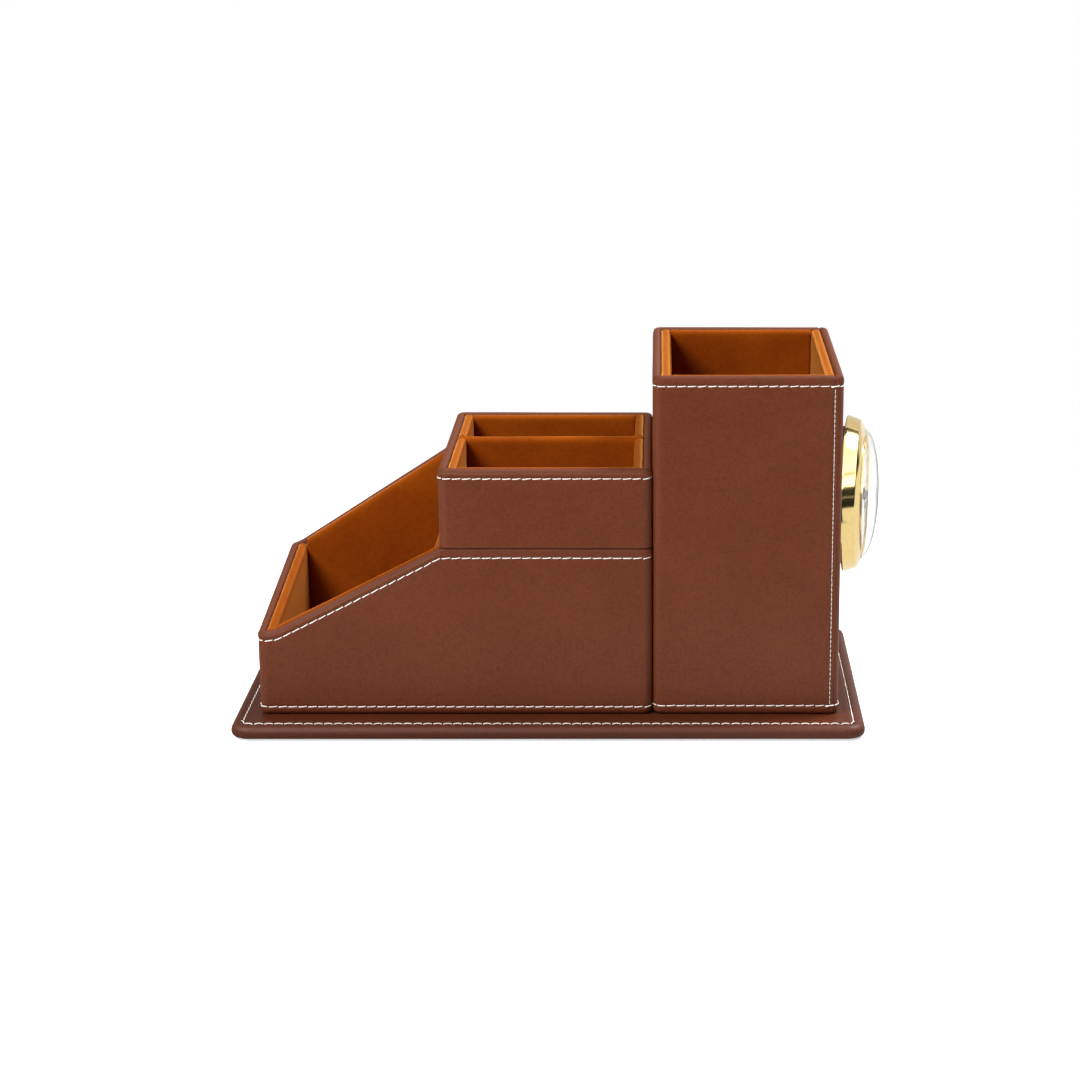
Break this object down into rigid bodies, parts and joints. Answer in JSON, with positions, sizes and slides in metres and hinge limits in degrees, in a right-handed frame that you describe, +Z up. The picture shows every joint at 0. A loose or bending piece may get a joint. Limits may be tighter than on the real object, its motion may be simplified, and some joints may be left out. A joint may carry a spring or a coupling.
{
  "type": "desk organizer",
  "caption": "Leather-covered desk organizer: sloped tray, lift-out caddy with divider over a storage well, tall pen tower and a round clock in its side, on a base plate.",
  "frame": {"origin": "centre of the base plate's underside", "axes": "+X along the organizer from the tray to the clock, +Y away from the user, +Z up"},
  "size_m": [0.2816, 0.146, 0.1555],
  "materials": {
    "leather": "satin, fine grain",
    "suede": "matt suede",
    "board": "raw fibreboard",
    "felt": "matt felt",
    "gold": "polished",
    "clear": "polished",
    "dial_white": "matt print",
    "black_plastic": "satin",
    "rubber": "matt",
    "grey_metal": "satin",
    "steel": "bright"
  },
  "bodies": {
    "organizer": {"base_board": "board", "base_leather_cover": "leather", "base_felt": "felt", "case_bottom_board": "board", "case_front_board": "board", "case_back_board": "board", "case_left_board": "board", "case_right_board": "board", "case_partition": "leather", "case_leather_cover": "leather", "tray_front_lining": "suede", "tray_back_lining": "suede", "tray_left_lining": "suede", "tray_right_lining": "suede", "tray_floor_pad": "suede", "well_front_lining": "suede", "well_back_lining": "suede", "well_left_lining": "suede", "well_right_lining": "suede", "well_floor_pad": "suede", "tower_bottom_board": "board", "tower_front_board": "board", "tower_back_board": "board", "tower_left_board": "board", "tower_right_board": "board", "tower_wrap_leather": "leather", "tower_clock_side_leather": "leather", "tower_front_lining": "suede", "tower_back_lining": "suede", "tower_left_lining": "suede", "tower_right_lining": "suede", "tower_floor_pad": "suede"},
    "caddy": {"caddy_floor_board": "board", "caddy_front_board": "board", "caddy_back_board": "board", "caddy_left_board": "board", "caddy_right_board": "board", "caddy_leather_cover": "leather", "caddy_front_lining": "suede", "caddy_back_lining": "suede", "caddy_divider": "suede", "caddy_near_left_lining": "suede", "caddy_near_right_lining": "suede", "caddy_far_left_lining": "suede", "caddy_far_right_lining": "suede", "caddy_near_floor_pad": "suede", "caddy_far_floor_pad": "suede"},
    "clock": {"clock_case": "black_plastic", "clock_bezel": "gold", "clock_lens": "clear", "clock_dial": "dial_white", "clock_inner_ring": "gold", "clock_fitting_ring": "rubber", "clock_movement": "black_plastic", "clock_button_cell": "steel"},
    "hour_hand": {"hour_hand": "grey_metal"},
    "minute_hand": {"minute_hand": "grey_metal"},
    "second_hand": {"second_hand": "grey_metal"},
    "setting_knob": {"setting_knob": "black_plastic"}
  },
  "joints": [
    {"name": "caddy_lift", "type": "slide", "parent": "organizer", "child": "caddy", "axis": [0, 0, 1], "range_m": [0, 0.09]},
    {"name": "clock_pull", "type": "slide", "parent": "organizer", "child": "clock", "axis": [0.9903, -0.1392, 0], "range_m": [0, 0.03]},
    {"name": "minute_hand_turn", "type": "hinge", "parent": "clock", "child": "minute_hand", "pos_m": [0.12999, -0.0047, 0.092], "axis": [-0.9903, 0.1392, 0], "continuous": true},
    {"name": "hour_hand_turn", "type": "hinge", "parent": "clock", "child": "hour_hand", "pos_m": [0.12999, -0.0047, 0.092], "axis": [-0.9903, 0.1392, 0], "continuous": true},
    {"name": "second_hand_turn", "type": "hinge", "parent": "clock", "child": "second_hand", "pos_m": [0.12999, -0.0047, 0.092], "axis": [-0.9903, 0.1392, 0], "continuous": true},
    {"name": "setting_knob_turn", "type": "hinge", "parent": "clock", "child": "setting_knob", "pos_m": [0.12999, -0.0047, 0.08107], "axis": [-0.9903, 0.1392, 0], "continuous": true}
  ],
  "couplings": [
    {"joint": "hour_hand_turn", "follows": "minute_hand_turn", "ratio": 0.083333},
    {"joint": "setting_knob_turn", "follows": "minute_hand_turn", "ratio": -3}
  ]
}
